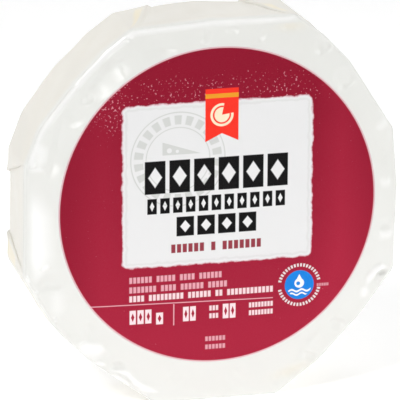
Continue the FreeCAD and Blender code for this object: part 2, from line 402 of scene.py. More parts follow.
def fullRow(back):
    # one whole row round the wheel, in order, starting with the right side
    parts = []
    for index, strip in enumerate(stripList):
        own = stripColumns(strip, back)
        if not strip["side"]:
            parts.append(own)
            continue
        before = stripColumns(stripList[index - 1], back)[1][-1]
        after = stripColumns(stripList[(index + 1) % len(stripList)], back)[1][0]
        bare = np.zeros(columns["tuckCount"])
        places, levels = tuckColumns(strip["first"], back, 1, before)
        parts.append((places, levels, bare))
        parts.append(own)
        places, levels = tuckColumns(strip["second"], back, -1, after)
        parts.append((places[::-1], levels[::-1], bare))
    return [np.concatenate(column) for column in zip(*parts)]


# Places where one layer lets the cheese's colour through, beside a fold: how far from the
# fold's edge it starts and ends, the depths between which it shows, and how strongly.
thinSpots = {
    "topLeft": (0.9, 3.6, 3.0, 20.0, 1.0),
    "topRight": (0.4, 4.6, 4.5, 15.0, 1.0),
    "leftLow": (0.3, 5.5, 9.0, 23.0, 0.9),
    "rightLow": (0.6, 3.5, 8.0, 20.0, 0.5),
}


def thinAt(places, back):
    found = np.zeros(places.shape)
    run = max(0.0, back - wheel["foldStart"])
    for name, (near, far, first, last, strength) in thinSpots.items():
        edge = foldPlace(name, run)
        away = (edge - places) * np.sign(leans[name])
        away = np.mod(away + around / 2, around) - around / 2
        growth = min(1.0, run / 12) * 0.7 + 0.3
        band = smooth((away - near * growth) / 0.7) * smooth((far * growth - away) / 0.9)
        fade = smooth(np.array((back - first) / 2.5)) * smooth(np.array((last - back) / 3.0))
        found = np.maximum(found, band * fade * strength)
    return found


def stainAt(u, v):
    # two places on the face where the cheese's colour shows faintly
    low = np.exp(-((u - 21) / 5) ** 2 - ((v + 48.4 - 0.25 * (u - 21)) / 1.6) ** 2)
    high = np.exp(-((u - 20) / 3.6) ** 2 - ((v - 48.2) / 1.2) ** 2)
    return 0.34 * low + 0.40 * high


# The narrow facet along the front edge, and how much painted highlight whitens it and the ridges.
crest = {"width": 0.9, "fall": 0.36, "highlightWidth": 1.2, "pale": 0.9, "ridgeHighlight": 2.4}


def paintedHighlightAt(folds, fromEdge, places, front):
    # painted highlight: the paper's colour is drawn near white on the ridges and along the crest
    along = np.clip(1 - fromEdge / crest["highlightWidth"], 0, 1) * crestAt(places)
    return front * np.clip(crest["ridgeHighlight"] * np.clip(folds, 0, 1) + crest["pale"] * along, 0, 1)


def between(places, first, last, fade):
    # 1 round the rim from one bend to another, counter-clockwise, and 0 elsewhere
    along = np.mod(places - marks[first] + 3 * fade, around) - 3 * fade
    length = np.mod(marks[last] - marks[first], around)
    return smooth(along / fade + 0.5) * smooth((length - along) / fade + 0.5)


def leanAt(places, back):
    # how far the paper has drawn in from the rim, towards the front edge
    topAndLeft = 0.45 * between(places, "topLeft", "leftHigh", 6.0)
    topAndLeft = topAndLeft + 0.35 * between(places, "topRight", "topLeft", 6.0)
    return topAndLeft * max(0.0, 1 - back / 6.0)


def crestAt(places):
    # where a narrow facet runs along the front edge: over the top and down the upper left
    return between(places, "topRight", "leftHigh", 4.0)


# Where the paper stands off the cheese towards the back of the rim: at which bend, how far
# past it, how wide and how much.
rimSwells = [("topMid", 4.0, 13.0, 1.3), ("upperLeftMid", 2.0, 9.0, 0.5)]


def rimRelief(places, back):
    # slow unevenness of the paper round the rim, with the strip edges beside the folds
    turn = places / around * 2 * math.pi
    lengthwise = (0.10 * np.sin(23 * turn + 0.5) + 0.07 * np.sin(41 * turn + 1.9) +
                  0.12 * np.sin(11 * turn + 2.2))
    crown = math.sin(math.pi * min(1.0, max(0.0, back / depth)))
    relief = crown * (0.8 * lengthwise + 0.10 * np.sin(places * 0.35 + back * 0.5))
    for name, past, width, amount in rimSwells:
        away = np.mod(places - marks[name] - past + around / 2, around) - around / 2
        relief = relief + amount * np.exp(-(away / width) ** 2) * min(1.0, back / depth) ** 1.5
    groove = math.exp(-((back - 2.2) / 0.45) ** 2)
    relief = relief - 0.32 * groove * between(places, "leftHigh", "leftLow", 8.0)
    onGround = smooth((places - marks["footLeft"] + 4) / 3) * smooth((marks["footRight"] + 4 - places) / 3)
    return relief * (1 - onGround)


def bodyRows():
    # every row of the wheel from the face's middle to the back's edge, and its share of each
    rows = []
    inset = wheel["edgeInset"]
    faceSteps = list(np.linspace(0.02, 0.80, 14)) + list(np.linspace(0.815, 1.0, 34))
    for share in faceSteps:
        rows.append({"share": share, "inset": inset, "back": 0.0, "out": 0.0, "behind": -1.0})
    power = 2 / wheel["edgeSquareness"]
    turns = 9
    for step in range(1, turns + 1):
        angle = math.pi / 2 * step / turns
        rows.append({
            "share": 1.0,
            "inset": inset * (1 - math.sin(angle) ** power),
            "back": wheel["edgeDepth"] * (1 - math.cos(angle) ** power),
            "out": math.sin(angle),
            "behind": -math.cos(angle),
        })
    rimSteps = 32
    firstBack, lastBack = wheel["edgeDepth"], depth - wheel["backRound"]
    for step in range(1, rimSteps + 1):
        back = firstBack + (lastBack - firstBack) * step / rimSteps
        rows.append({"share": 1.0, "inset": 0.0, "back": back, "out": 1.0, "behind": 0.0})
    for step in range(1, 7):
        angle = math.pi / 2 * step / 6
        rows.append({
            "share": 1.0,
            "inset": wheel["backRound"] * (1 - math.cos(angle)),
            "back": depth - wheel["backRound"] * (1 - math.sin(angle)),
            "out": math.cos(angle),
            "behind": math.sin(angle),
        })
    return rows


def bodyGrid():
    points, thin = [], []    # thin is above zero where the cheese's colour shows through, and below zero where a painted highlight whitens the paper
    for row in bodyRows():
        foldDepth = row["back"] + (row["inset"] if row["behind"] > 0 else 0.0)
        places, levels, covers = fullRow(min(foldDepth, depth))
        edge, out = outlineAt(places)
        spot = edge - out * (row["inset"] + leanAt(places, row["back"]))[:, None]
        spot = printMiddle + (spot - printMiddle) * row["share"]
        u, v = (spot - printMiddle).T
        fromEdge = (1 - row["share"]) * np.hypot(u, v) / row["share"]
        facet = -crest["fall"] * np.clip(1 - fromEdge / crest["width"], 0, 1) * crestAt(places)
        front = max(0.0, -row["behind"])
        folds = foldsAt(u, v) if front else np.zeros(u.shape)
        faceLift = (faceRelief(u, v, folds) + facet) * front
        rimLift = levels + rimRelief(places, row["back"]) * row["out"]
        spot = spot + out * (rimLift * row["out"])[:, None]
        backs = row["back"] - faceLift + rimLift * max(0.0, row["behind"])
        points.append(np.column_stack((spot[:, 0], backs, spot[:, 1])))
        # the cheese's colour showing through, less the painted highlight on the ridges and the crest
        thin.append(np.maximum(thinAt(places, row["back"]) * row["out"] * covers,
                               stainAt(u, v) * front) - paintedHighlightAt(folds, fromEdge, places, front))
    return np.array(points), np.array(thin)


class Sheet:
    # gathers grids of points into one mesh, and welds the edges that they share

    def __init__(self):
        self.points = []
        self.faces = []
        self.thin = []

    def grid(self, points, thin=None, closed=False):
        rows, count = points.shape[:2]
        first = len(self.points)
        self.points.extend(points.reshape(-1, 3).tolist())
        spots = np.zeros((rows, count)) if thin is None else thin
        self.thin.extend(spots.reshape(-1).tolist())
        for row in range(rows - 1):
            for column in range(count if closed else count - 1):
                beside = (column + 1) % count
                here = first + row * count
                self.faces.append((here + column, here + beside,
                                   here + count + beside, here + count + column))

    def fan(self, middle, ring):
        first = len(self.points)
        self.points.append(list(middle))
        self.points.extend(np.asarray(ring).tolist())
        self.thin.extend([0.0] * (len(ring) + 1))
        for index in range(len(ring)):
            self.faces.append((first, first + 1 + index, first + 1 + (index + 1) % len(ring)))

    def build(self, name):
        points = np.array(self.points)
        mesh = bpy.data.meshes.new(name)
        placed = toFrame(points[:, 0], points[:, 1], points[:, 2])
        mesh.from_pydata(placed.tolist(), [], self.faces)
        # the thin attribute also carries the painted highlight, as values below zero
        layer = mesh.attributes.new("thin", "FLOAT", "POINT")
        layer.data.foreach_set("value", np.array(self.thin, np.float32))
        work = bmesh.new()
        work.from_mesh(mesh)
        bmesh.ops.remove_doubles(work, verts=work.verts, dist=2e-7)
        bmesh.ops.dissolve_degenerate(work, edges=work.edges, dist=1e-7)
        bmesh.ops.recalc_face_normals(work, faces=work.faces)
        openEdges = sum(1 for edge in work.edges if len(edge.link_faces) != 2)
        work.to_mesh(mesh)
        work.free()
        mesh.polygons.foreach_set("use_smooth", [True] * len(mesh.polygons))
        piece = bpy.data.objects.new(name, mesh)
        bpy.context.scene.collection.objects.link(piece)
        triangles = sum(len(face.vertices) - 2 for face in mesh.polygons)
        print(name, "has", triangles, "triangles and", openEdges, "open edges")
        return piece


def foldWay(side, name):
    outward = np.array(sides[side][0])
    return unit(foldMeeting(side) - outward * rimRun - bendPlace(name))


def crossing(point, way, otherPoint, otherWay):
    spread = way[0] * otherWay[1] - way[1] * otherWay[0]
    gap = otherPoint - point
    return point + way * ((gap[0] * otherWay[1] - gap[1] * otherWay[0]) / spread)


def flapPlan(diagonal):
    # corners of a flap past the meeting points: two meetings, two sheet corners and the tip
    firstSide, secondSide = diagonals[diagonal]
    outwards = [np.array(sides[side][0], float) for side in (firstSide, secondSide)]
    middleWay = unit(outwards[0] + outwards[1])
    tip = axis - middleWay * wheel["tipReach"]
    meetings, corners = [], []
    for side, otherOutward in zip((firstSide, secondSide), reversed(outwards)):
        name = max(sides[side][1:], key=lambda fold: bendPlace(fold) @ middleWay)
        way = foldWay(side, name)
        meetings.append(foldMeeting(side))
        corners.append(crossing(foldMeeting(side), way, tip, np.array(sides[side][0], float)))
    return {"meetings": meetings, "corners": corners, "tip": tip, "inward": -middleWay}


flapPlans = {name: flapPlan(name) for name in diagonals}


def insideFlap(plan, spots):
    # how far inside a flap's outline each place lies, below zero outside
    ring = [plan["meetings"][0], plan["corners"][0], plan["tip"],
            plan["corners"][1], plan["meetings"][1]]
    middle = sum(ring) / len(ring)
    inside = np.full(spots.shape[:-1], 1e9)
    for start, end in zip(ring[:-1], ring[1:]):
        way = unit(end - start)
        out = np.array((way[1], -way[0]))
        if out @ (middle - start) > 0:
            out = -out
        inside = np.minimum(inside, -((spots - start) @ out))
    return inside


def pastMeetings(plan, spots):
    return (spots - plan["meetings"][0]) @ plan["inward"]


def pileHeight(order, spots):
    # height of a flap's top over the back, draped over the flaps folded down before it
    names = list(diagonals)
    plan = flapPlans[names[order]]
    height = wheel["flapStep"] * smooth(pastMeetings(plan, spots) / 9 + 0.05)
    below = np.zeros(spots.shape[:-1])
    for lower in range(order):
        cover = smooth(insideFlap(flapPlans[names[lower]], spots) / 2.6 + 1)
        below = np.maximum(below, pileHeight(lower, spots) * cover)
    return height + below * smooth(pastMeetings(plan, spots) / 1.5)


def lerpRows(starts, ends, shares):
    return starts[None] + (ends - starts)[None] * np.asarray(shares)[:, None, None]


def makeWrap():
    sheet = Sheet()
    points, thin = bodyGrid()
    sheet.grid(points, thin, closed=True)
    frontMiddle = points[0].mean(0)
    sheet.fan(frontMiddle, points[0])
    backRow = points[-1]
    column = 0
    lowMeeting = {side: np.array((*foldMeeting(side), 0.0)) for side in sides}
    for side, place in lowMeeting.items():
        lowMeeting[side] = np.array((place[0], depth - wheel["layer"], place[1]))
    highMeeting = {side: place + np.array((0, wheel["layer"], 0))
                   for side, place in lowMeeting.items()}
    closing = np.array((axis[0], depth - wheel["layer"] - 0.5, axis[1]))
    shares = np.linspace(0, 1, 20)
    spans = []
    for strip in stripList:
        width = strip["count"] + (2 * columns["tuckCount"] if strip["side"] else 0)
        spans.append((column, column + width))
        column += width
    total = column
    for index, strip in enumerate(stripList):
        start, end = spans[index]
        if strip["side"]:
            picks = np.arange(start - 1, end + 1) % total
            ends = np.tile(lowMeeting[strip["side"]], (len(picks), 1))
            for edge in (0, 1, len(picks) - 1, len(picks) - 2):
                ends[edge] = highMeeting[strip["side"]]
            sheet.grid(lerpRows(backRow[picks], ends, shares))
            continue
        picks = np.arange(start, end)
        before = stripList[index - 1]["side"]
        after = stripList[(index + 1) % len(stripList)]["side"]
        across = np.linspace(0, 1, len(picks))[:, None]
        ends = highMeeting[before] * (1 - across) + highMeeting[after] * across
        rows = lerpRows(backRow[picks], ends, shares)
        bulge = np.sin(math.pi * across[:, 0])[None] * np.sin(math.pi * shares)[:, None]
        rows[..., 1] += 0.22 * bulge
        sheet.grid(rows)
        name = next(key for key, pair in diagonals.items() if set(pair) == {before, after})
        addFlap(sheet, name, ends, lowMeeting[before], lowMeeting[after], closing)
    return sheet.build("paper_wrap")


def addFlap(sheet, name, meetingRow, lowBefore, lowAfter, closing):
    # a diagonal's corner of the sheet over the back: its top, its underside and its edges
    order = list(diagonals).index(name)
    plan = flapPlans[name]
    count = len(meetingRow)
    ends = sorted(plan["corners"], key=lambda spot: np.hypot(*(spot - lowBefore[[0, 2]])))
    across = np.linspace(0, 1, count)[:, None]
    cornerRow = ends[0] * (1 - across) + ends[1] * across
    meetingSpots = meetingRow[:, [0, 2]]
    upper = lerpRows(meetingSpots, cornerRow, np.linspace(0, 1, 12))
    tipRow = np.tile(plan["tip"], (count, 1))
    lower = lerpRows(cornerRow, tipRow, np.linspace(0, 1, 20))
    spots = np.concatenate((upper, lower[1:]))
    height = pileHeight(order, spots)
    curl = 0.16 * smooth(1 - insideFlap(plan, spots) / 2.0) * smooth(pastMeetings(plan, spots) / 5)
    wave = 0.05 * np.sin(spots[..., 0] * 0.5 + order) * np.sin(spots[..., 1] * 0.4)
    wave = wave * smooth(pastMeetings(plan, spots) / 6)
    covered = order < len(diagonals) - 1
    highest = len(diagonals) * wheel["flapStep"] - 0.01
    pile = depth + np.minimum(height + (curl + wave) * covered, highest)
    top = np.stack((spots[..., 0], pile, spots[..., 1]), -1)
    top[0] = meetingRow
    under = top - np.array((0, wheel["sheetThick"], 0))
    under[0, 0], under[0, -1] = lowBefore, lowAfter
    sheet.grid(top)
    sheet.grid(under)
    for edge in (0, -1):
        sheet.grid(np.stack((top[:, edge], under[:, edge])))
    sheet.grid(lerpRows(under[0], np.tile(closing, (count, 1)), np.linspace(0, 1, 4)))


def makePrintedFace():
    sheet = Sheet()
    radius = printed["radius"]
    turns = np.linspace(0, 2 * math.pi, 360, endpoint=False)
    rings = np.concatenate((np.linspace(0.02, 0.86, 30), np.linspace(0.88, 1.0, 14)))
    u = rings[:, None] * radius * np.cos(turns)[None]
    v = rings[:, None] * radius * np.sin(turns)[None]
    top = -(faceRelief(u, v, foldsAt(u, v)) + printed["proud"])
    points = np.stack((printMiddle[0] + u, top, printMiddle[1] + v), -1)
    sheet.grid(points, closed=True)
    sheet.fan(points[0].mean(0), points[0])
    skirt = points[-1] + np.array((0, printed["skirt"], 0))
    sheet.grid(np.stack((points[-1], skirt)), closed=True)
    return sheet.build("printed_face")


wrap = makeWrap()
printFace = makePrintedFace()


# Shader maths: a wire is one socket, and arithmetic on it adds the Math nodes.
class Wire:
    def __init__(self, finish, socket):
        self.finish = finish
        self.socket = socket

    def __add__(self, other):
        return self.finish.maths("ADD", self, other)

    def __sub__(self, other):
        return self.finish.maths("SUBTRACT", self, other)

    def __rsub__(self, other):
        return self.finish.maths("SUBTRACT", other, self)

    def __mul__(self, other):
        return self.finish.maths("MULTIPLY", self, other)

    __radd__ = __add__
    __rmul__ = __mul__


class Finish:
    # one material, and the node maker that everything in it goes through

    def __init__(self, name):
        self.material = bpy.data.materials.new(name)
        self.material.use_nodes = True
        self.tree = self.material.node_tree
        self.tree.nodes.clear()

    def node(self, kind, settings=None, values=None, output=0):
        made = self.tree.nodes.new(kind)
        for key, value in (settings or {}).items():
            setattr(made, key, value)
        for key, value in (values or {}).items():
            if isinstance(value, Wire):
                self.tree.links.new(value.socket, made.inputs[key])
            else:
                made.inputs[key].default_value = value
        return Wire(self, made.outputs[output]) if made.outputs else made

    def maths(self, operation, first, second=0.0, third=0.0, clamp=False):
        return self.node("ShaderNodeMath", {"operation": operation, "use_clamp": clamp},
                         {0: first, 1: second, 2: third})

    def between(self, amount, first, second):
        return self.node("ShaderNodeMix", {"data_type": "RGBA"},
                         {"Factor": amount, 6: first, 7: second}, output=2)

    def noise(self, place, scale, detail):
        return self.node("ShaderNodeTexNoise", {},
                         {"Vector": place, "Scale": scale, "Detail": detail})


def tint(red, green, blue):
    # a colour given as it is seen, turned into the linear values that a socket takes
    def linear(value):
        value = value / 255
        return value / 12.92 if value <= 0.04045 else ((value + 0.055) / 1.055) ** 2.4
    return (linear(red), linear(green), linear(blue), 1.0)


waxedPaper = {
    "front": tint(236, 237, 233),
    "rim": tint(231, 227, 217),
    "thin": tint(239, 230, 205),
    # a painted highlight: the near white drawn on the ridges and along the crest
    "paintedHighlight": tint(252, 252, 250),
    "mottle": tint(228, 227, 221),
    "roughness": 0.36,
    "coat": 0.7,
    "rimCoat": 0.2,
}


def finishPaper():
    finish = Finish("waxed_paper")
    place = finish.node("ShaderNodeTexCoord", output=3)
    split = finish.node("ShaderNodeSeparateXYZ", {}, {0: place})
    back = Wire(finish, split.socket.node.outputs[1])
    rimShare = finish.node("ShaderNodeMapRange", {"interpolation_type": "SMOOTHSTEP"},
                           {0: back, 1: (faceY + 1.0) * mm, 2: (faceY + 4.5) * mm})
    cloud = finish.noise(place, 55, 3)
    fine = finish.noise(place, 900, 4)
    thin = finish.node("ShaderNodeAttribute", {"attribute_name": "thin"}, output=2)
    ground = finish.between(rimShare, waxedPaper["front"], waxedPaper["rim"])
    mottled = finish.between(cloud * 0.5, ground, waxedPaper["mottle"])
    # painted highlight: where thin is below zero, the colour is drawn towards near white
    paintedHighlight = finish.maths("MAXIMUM", thin * -1.0, 0.0)
    shown = finish.maths("MAXIMUM", thin, 0.0) * (fine * 0.4 + 0.7)
    colour = finish.between(shown, mottled, waxedPaper["thin"])
    colour = finish.between(paintedHighlight, colour, waxedPaper["paintedHighlight"])
    ripple = finish.noise(place, 260, 3)
    bump = finish.node("ShaderNodeBump", {}, {"Strength": 0.22, "Distance": 0.0002,
                                              "Height": ripple * 0.7 + fine * 0.3})
    rough = cloud * 0.12 + (waxedPaper["roughness"] - 0.06)
    surface = finish.node("ShaderNodeBsdfPrincipled", {}, {
        "Base Color": colour, "Roughness": rough, "Normal": bump,
        "Coat Weight": rimShare * (waxedPaper["rimCoat"] - waxedPaper["coat"]) + waxedPaper["coat"],
        "Coat Roughness": 0.2})
    finish.node("ShaderNodeOutputMaterial", {}, {"Surface": surface})
    return finish.material


wrap.data.materials.append(finishPaper())
print("the waxed paper is finished")


# The printed field, in millimetres from its middle. No words: rows of tiles and small strokes
# stand in the places of a pack's words, and plain ornaments in the places of its marks.
inks = {
    "ground": tint(144, 10, 42),
    # a painted reflection: the lighter maroon drawn low down and in two upright sheen streaks
    "groundSheen": tint(172, 32, 60),
    "rim": tint(243, 205, 212),
    "panel": tint(234, 234, 234),
    "panelLine": tint(212, 210, 208),
    "panelEdge": tint(226, 188, 198),
    "black": tint(4, 3, 4),
    "soft": tint(238, 178, 190),
    "ribbon": tint(250, 52, 36),
    "gold": tint(240, 160, 40),
    "cream": tint(255, 236, 205),
    "pale": tint(252, 226, 230),
    "stamp": tint(204, 206, 202),
    "stampOnGround": tint(196, 96, 116),
    "blue": tint(24, 132, 226),
    "white": tint(250, 250, 250),
}

# Rows of tiles: left, right, low, high, how many, tile share, ink, how large the hole is.
tileRows = [
    (-20.9, 19.9, 4.4, 13.5, 6, 0.84, "black", 0.42),
    (-20.1, 19.1, -1.2, 3.1, 11, 0.74, "black", 0.30),
    (-12.0, 11.1, -7.8, -2.4, 4, 0.84, "black", 0.36),
    (-24.7, -18.2, -31.7, -27.8, 3, 0.80, "pale", 0.34),
    (-17.3, -15.0, -32.2, -28.9, 1, 0.84, "pale", 0.34),
    (-9.8, -5.9, -31.9, -27.8, 2, 0.82, "pale", 0.34),
    (1.3, 5.2, -31.9, -27.8, 2, 0.82, "pale", 0.34),
]

# Rows of small strokes in groups: left, right, low, high, group widths in strokes, ink, strength.
strokeRows = [
    (-13.2, 12.2, -12.4, -10.0, (6, 1, 7), "ground", 0.95),
    (-24.7, 1.2, -20.2, -18.5, (6, 5, 4, 6), "soft", 0.85),
    (-24.7, 2.7, -22.9, -21.2, (7, 4, 6, 5), "soft", 0.85),
    (-24.7, 15.6, -25.4, -23.7, (4, 9, 6, 2, 12), "pale", 0.9),
    (-2.4, 0.3, -29.4, -28.0, (3,), "pale", 0.9),
    (-2.4, 0.3, -31.6, -30.2, (3,), "pale", 0.9),
    (8.7, 15.6, -29.4, -28.0, (8,), "pale", 0.9),
    (8.7, 15.6, -31.6, -30.2, (8,), "pale", 0.9),
    (-3.5, 2.3, -38.0, -36.7, (6,), "soft", 0.8),
    (-3.5, 2.3, -40.3, -39.0, (6,), "soft", 0.8),
    (27.8, 31.2, -24.8, -24.0, (7,), "soft", 0.7),
]


class Printer:
    # draws the printed field as masks over two wires, across and up

    def __init__(self, finish, u, v):
        self.finish = finish
        self.u = u
        self.v = v
        self.colour = inks["ground"]

    def ramp(self, distance, soft=0.16):
        # 1 where a distance is well above zero, 0 below
        return self.finish.maths("MULTIPLY_ADD", distance, 1 / soft, 0.5, clamp=True)

    def size(self, wire):
        return self.finish.maths("ABSOLUTE", wire)

    def span(self, wire, low, high):
        return self.ramp((high - low) / 2 - self.size(wire - (low + high) / 2))

    def box(self, left, right, low, high):
        return self.span(self.u, left, right) * self.span(self.v, low, high)

    def reach(self, across, up):
        du, dv = self.u - across, self.v - up
        return self.finish.maths("SQRT", du * du + dv * dv)

    def heading(self, across, up):
        return self.finish.maths("ARCTAN2", self.v - up, self.u - across)

    def repeat(self, wire, period):
        # distance from the middle of the nearest repeat
        return self.finish.maths("PINGPONG", wire, period / 2)

    def lower(self, first, second):
        return self.finish.maths("MINIMUM", first, second)

    def higher(self, first, second):
        return self.finish.maths("MAXIMUM", first, second)

    def lay(self, ink, mask):
        shade = inks[ink] if isinstance(ink, str) else ink
        self.colour = self.finish.between(mask, self.colour, shade)

    def tiles(self, left, right, low, high, count, share, ink, hole):
        period = (right - left) / count
        middle = (low + high) / 2
        fromMiddle = period / 2 - self.repeat(self.u - left, period)
        half, tall = period * share / 2, (high - low) / 2
        up = self.size(self.v - middle)
        tile = self.ramp(half - fromMiddle) * self.ramp(tall - up) * self.span(self.u, left, right)
        lozenge = self.ramp(1 - fromMiddle * (1 / (half * hole * 1.6)) - up * (1 / (tall * 0.62)), 0.14)
        self.lay(ink, tile * (1 - lozenge))

    def strokes(self, left, right, low, high, groups, ink, strength):
        unitWidth = (right - left) / (sum(groups) + len(groups) - 1)
        shown = None
        start = left
        for count in groups:
            group = self.span(self.u, start, start + count * unitWidth)
            shown = group if shown is None else self.higher(shown, group)
            start += (count + 1) * unitWidth
        tick = unitWidth / 2 - self.repeat(self.u - left, unitWidth)
        ticks = self.ramp(unitWidth * 0.37 - tick, 0.2)
        self.lay(ink, shown * ticks * self.span(self.v, low, high) * strength)


def finishPrint():
    finish = Finish("printed_paper")
    place = finish.node("ShaderNodeTexCoord", output=3)
    split = finish.node("ShaderNodeSeparateXYZ", {}, {0: place}).socket.node
    scale = 1 / (fitScale * mm)
    u = Wire(finish, split.outputs[0]) * scale - (printMiddle[0] + axisX / fitScale)
    v = Wire(finish, split.outputs[2]) * scale - (printMiddle[1] + groundZ / fitScale)
    ink = Printer(finish, u, v)
    torn = finish.noise(place, 420, 3) - 0.5
    fleck = finish.noise(place, 1500, 2)
    cloud = finish.noise(place, 60, 2)
    drawGroundSheen(ink, cloud)
    drawFlecks(ink, fleck, cloud)
    panelShape = {"left": -26.4, "right": 26.1, "low": -15.9, "high": 29.0, "corner": 1.8}
    inPanel = panelDepth(ink, panelShape) + torn * 1.5
    ink.lay("panelEdge", ink.ramp(inPanel + 0.15, 0.3))
    ink.lay("panel", ink.ramp(inPanel - 0.15, 0.3))
    ink.lay("panelLine", ink.ramp(0.30 - ink.size(inPanel - 0.95), 0.4) * 0.35)
    drawStamp(ink, inPanel)
    drawRibbon(ink)
    for row in tileRows:
        ink.tiles(*row)
    for row in strokeRows:
        ink.strokes(*row)
    drawRules(ink)
    drawBadge(ink)
    edge = ink.reach(0, 0)
    ink.lay("rim", ink.ramp(edge - (printed["radius"] - 0.38), 0.24) * 0.85)
    worn = finish.noise(place, 2600, 2)
    colour = finish.between(worn * 0.015, ink.colour, inks["white"])
    ripple = finish.noise(place, 260, 3)
    bump = finish.node("ShaderNodeBump", {}, {"Strength": 0.18, "Distance": 0.0002,
                                              "Height": ripple * 0.8 + worn * 0.2})
    surface = finish.node("ShaderNodeBsdfPrincipled", {}, {
        "Base Color": colour, "Roughness": cloud * 0.1 + 0.34, "Normal": bump,
        "Specular IOR Level": 0.05})
    finish.node("ShaderNodeOutputMaterial", {}, {"Surface": surface})
    return finish.material


def panelDepth(ink, shape):
    # how far inside the panel's outline a place is, with rounded corners
    half = ((shape["right"] - shape["left"]) / 2, (shape["high"] - shape["low"]) / 2)
    middle = ((shape["right"] + shape["left"]) / 2, (shape["high"] + shape["low"]) / 2)
    corner = shape["corner"]
    du = ink.higher(ink.size(ink.u - middle[0]) - (half[0] - corner), 0.0)
    dv = ink.higher(ink.size(ink.v - middle[1]) - (half[1] - corner), 0.0)
    return corner - ink.finish.maths("SQRT", du * du + dv * dv)


def drawGroundSheen(ink, cloud):
    # painted sheen: the maroon is drawn lighter low down, as a painted reflection of the pale floor, and
    # along two soft upright sheen streaks
    low = ink.ramp(-12 - ink.v + cloud * 14, 60.0) * ink.ramp(ink.u + 36, 30.0) * 0.9
    left = ink.ramp(5 - ink.size(ink.u + 32), 9.0) * 0.3
    right = ink.ramp(4 - ink.size(ink.u - 34.5), 8.0) * 0.45
    ink.lay("groundSheen", ink.lower(low + left + right, 1.0))


def drawFlecks(ink, fleck, cloud):
    # pale flecks of the torn edge, thickest above the panel and at its upper left
    above = ink.ramp(4.2 - ink.size(ink.v - 32.0), 3.0) * ink.ramp(30 - ink.size(ink.u), 6.0)
    corner = ink.ramp(8.0 - ink.reach(-29.5, 28.5), 7.0)
    amount = ink.higher(above * 0.45, corner * 0.62)
    shown = ink.ramp(fleck + amount * 0.20 + cloud * 0.12 - 0.80, 0.05)
    ink.lay(tint(226, 150, 166), shown * ink.ramp(amount - 0.02, 0.1) * 0.75)


def drawStamp(ink, inPanel):
    # a faint round stamp: two rings with ticks between them round a wedge of cheese
    reach = ink.reach(-11.2, 13.7)
    heading = ink.heading(-11.2, 13.7)
    rings = ink.higher(ink.ramp(0.16 - ink.size(reach - 13.0)), ink.ramp(0.14 - ink.size(reach - 8.8)))
    tick = ink.repeat(heading + math.pi, math.pi / 11)
    between = ink.ramp(1.25 - ink.size(reach - 10.9))
    ticks = between * ink.ramp(tick * 11 - 0.62, 0.3)
    wedge = ink.ramp(ink.v - 15.0) * ink.ramp(18.6 - ink.v - (ink.u + 15.5) * 0.34)
    wedge = wedge * ink.ramp(ink.u + 15.5)
    holes = ink.higher(ink.ramp(0.7 - ink.reach(-13.6, 16.2)), ink.ramp(0.45 - ink.reach(-11.4, 15.9)))
    shown = ink.higher(ink.higher(rings, ticks), wedge * (1 - holes))
    onPanel = ink.ramp(inPanel - 0.2, 0.4)
    ink.lay("stamp", shown * onPanel * 0.75)
    ink.lay("stampOnGround", shown * (1 - onPanel) * 0.8)


def drawRibbon(ink):
    # a hanging ribbon with a notched foot, a gold band and a wheel with a wedge cut out
    left, right, low, high = -3.7, 5.5, 17.9, 32.5
    middle = (left + right) / 2
    notch = ink.v - (low + 2.2) + ink.size(ink.u - middle) * 0.48
    body = ink.span(ink.u, left, right) * ink.ramp(high - ink.v) * ink.ramp(notch)
    ink.lay("ribbon", body)
    ink.lay("gold", body * ink.span(ink.v, high - 2.6, high - 1.4))
    reach = ink.reach(middle, 25.2)
    wheelShape = ink.ramp(3.2 - reach)
    cut = ink.ramp(0.62 - ink.size(ink.heading(middle, 25.2) - 0.75), 0.08)
    ink.lay("cream", wheelShape * (1 - cut))
    ink.lay("ribbon", ink.ramp(0.22 - ink.size(reach - 2.3)) * (1 - cut))


def drawRules(ink):
    slope = 0.0234
    rule = ink.v + 25.9 + (ink.u + 35.7) * slope
    ink.lay("soft", ink.ramp(0.13 - ink.size(rule)) * ink.span(ink.u, -36, 15.5) * 0.9)
    ink.lay("soft", ink.box(-12.35, -12.05, -32.8, -26.8) * 0.9)


def drawBadge(ink):
    # a blue disc with a drop over two waves, and a ring of dashes round it
    across, up = 22.9, -24.0
    reach, heading = ink.reach(across, up), ink.heading(across, up)
    ink.lay("blue", ink.ramp(4.1 - reach))
    drop = ink.higher(ink.ramp(1.35 - ink.reach(across, up + 0.5)),
                      ink.ramp(3.0 - (ink.v - up) - ink.size(ink.u - across) * 1.9) *
                      ink.ramp(ink.v - (up + 1.0)))
    wave = ink.finish.maths("SINE", (ink.u - across) * 2.2) * 0.28
    waves = ink.higher(ink.ramp(0.26 - ink.size(ink.v - (up - 1.6) - wave)),
                       ink.ramp(0.22 - ink.size(ink.v - (up - 2.6) - wave)))
    ink.lay("white", ink.higher(drop, waves * ink.ramp(3.5 - reach)))
    ink.lay("blue", ink.ramp(0.55 - ink.reach(across - 0.3, up + 0.4)))
    dash = ink.repeat(heading + math.pi, math.pi / 20)
    arcs = ink.ramp(0.45 - ink.size(reach - 5.6)) * ink.ramp(dash * 20 - 0.65, 0.4)
    gap = ink.ramp(ink.size(ink.v - up) - 1.0, 0.3)
    ink.lay("white", arcs * gap * 0.75)


printFace.data.materials.append(finishPrint())
print("the print is drawn")

for piece in (wrap, printFace):
    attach(piece, "root")
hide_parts("wrapped_wheel")

# The camera looks a little from the left and from above, from far off with a long lens.
shot = {"azimuth": -15.17, "elevation": 16.45, "roll": 0.30, "distance": 1320.0,
        "lens": 443.6, "aimAcross": -5.05, "aimUp": 1.90}


